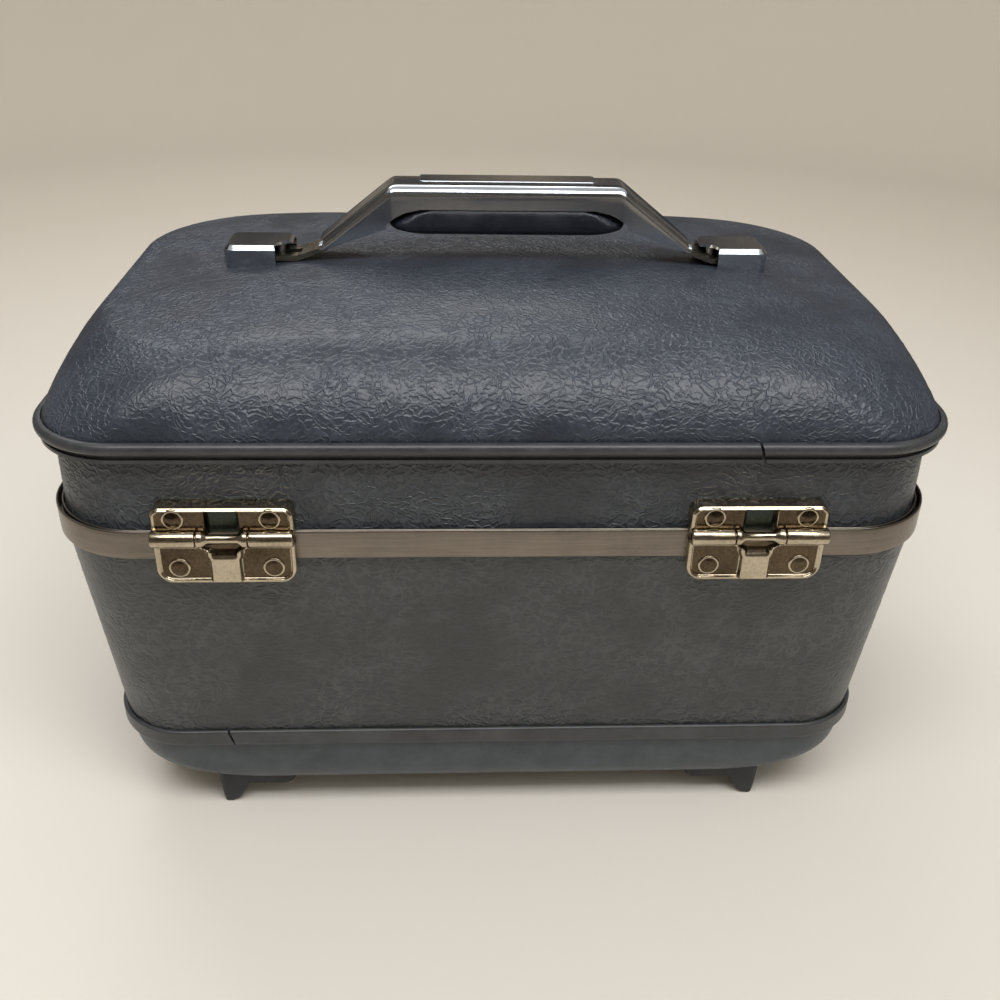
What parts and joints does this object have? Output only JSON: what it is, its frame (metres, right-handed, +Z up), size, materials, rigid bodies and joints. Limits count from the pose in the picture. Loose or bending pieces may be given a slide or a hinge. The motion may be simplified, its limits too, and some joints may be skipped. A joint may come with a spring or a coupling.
{
  "type": "vanity case",
  "caption": "Hard-sided vanity case with a domed hinged lid, a sliding carrying handle, a front hasp latch, a lid mirror, a lift-out tray and moulded feet.",
  "frame": {"origin": "centre of the footprint, on the surface that the feet stand on", "axes": "+Z up, -Y out of the latch side, +Y out of the hinge side, +X to the right of someone facing the latch"},
  "size_m": [0.35, 0.2485, 0.2576],
  "materials": {
    "shell_vinyl": "dark slate vinyl embossed with a coarse hide grain, satin",
    "crown_vinyl": "dark blue-grey vinyl embossed with a coarse hide grain, satin",
    "pan_vinyl": "smooth dark slate vinyl, satin",
    "welt": "satin dark grey extruded vinyl",
    "rail_steel": "dull warm steel strip with bright edges",
    "lining": "quilted grey-blue taffeta",
    "foot_plastic": "moulded black",
    "inner_steel": "plain zinc-plated steel",
    "trim_plastic": "moulded dark grey",
    "hinge_nickel": "worn nickel plate with a warm tint",
    "latch_chrome": "worn nickel plate",
    "handle_chrome": "bright chrome plate",
    "strap_steel": "spring steel, dull plate",
    "grip_vinyl": "soft blue-black vinyl",
    "mirror": "silvered glass",
    "mirror_card": "card",
    "tray_plastic": "moulded pale grey-blue"
  },
  "bodies": {
    "body": {"body_wall": "shell_vinyl", "base_pan": "pan_vinyl", "lower_welt": "welt", "body_rail": "rail_steel", "body_lining": "lining", "foot_front_left": "foot_plastic", "foot_front_right": "foot_plastic", "foot_rear_left": "foot_plastic", "foot_rear_right": "foot_plastic", "foot_screws": "inner_steel", "tray_rest_left": "trim_plastic", "tray_rest_right": "trim_plastic", "lower_hinge_leaf_left": "hinge_nickel", "lower_hinge_leaf_right": "hinge_nickel", "hinge_pin_left": "hinge_nickel", "hinge_pin_right": "hinge_nickel", "body_hinge_rivets": "hinge_nickel", "lock_case": "latch_chrome", "lock_rivets": "latch_chrome"},
    "latch": {"latch_bolt": "latch_chrome", "latch_button": "latch_chrome"},
    "lid": {"lid_wall": "shell_vinyl", "lid_crown": "crown_vinyl", "upper_welt": "welt", "lid_rail": "rail_steel", "lid_lining": "lining", "mirror_frame": "trim_plastic", "mirror_glass": "mirror", "mirror_backing": "mirror_card", "upper_hinge_leaf_left": "hinge_nickel", "upper_hinge_leaf_right": "hinge_nickel", "lid_hinge_rivets": "hinge_nickel", "hasp_mount": "latch_chrome", "hasp_pin": "latch_chrome", "hasp_rivets": "latch_chrome", "bracket_left": "handle_chrome", "bracket_right": "handle_chrome", "bracket_studs": "inner_steel", "bracket_backing_left": "inner_steel", "bracket_backing_right": "inner_steel"},
    "hasp": {"hasp": "latch_chrome"},
    "handle": {"handle_cover": "handle_chrome", "handle_top_plate": "handle_chrome", "handle_strap": "strap_steel", "grip_core": "trim_plastic", "grip_pad": "grip_vinyl", "handle_rivets": "inner_steel"},
    "tray": {"tray": "tray_plastic"}
  },
  "joints": [
    {"name": "lid_hinge", "type": "hinge", "parent": "body", "child": "lid", "pos_m": [0, 0.121, 0.1547], "axis": [-1, 0, 0], "range_deg": [0, 100]},
    {"name": "tray_lift", "type": "slide", "parent": "body", "child": "tray", "axis": [0, 0, 1], "range_m": [0, 0.05]},
    {"name": "latch_slide", "type": "slide", "parent": "body", "child": "latch", "axis": [-1, 0, 0], "range_m": [0, 0.006]},
    {"name": "hasp_hinge", "type": "hinge", "parent": "lid", "child": "hasp", "pos_m": [0, -0.1212, 0.172], "axis": [-1, 0, 0], "range_deg": [0, 95]},
    {"name": "handle_slide", "type": "slide", "parent": "lid", "child": "handle", "axis": [1, 0, 0], "range_m": [0, 0.007]}
  ]
}
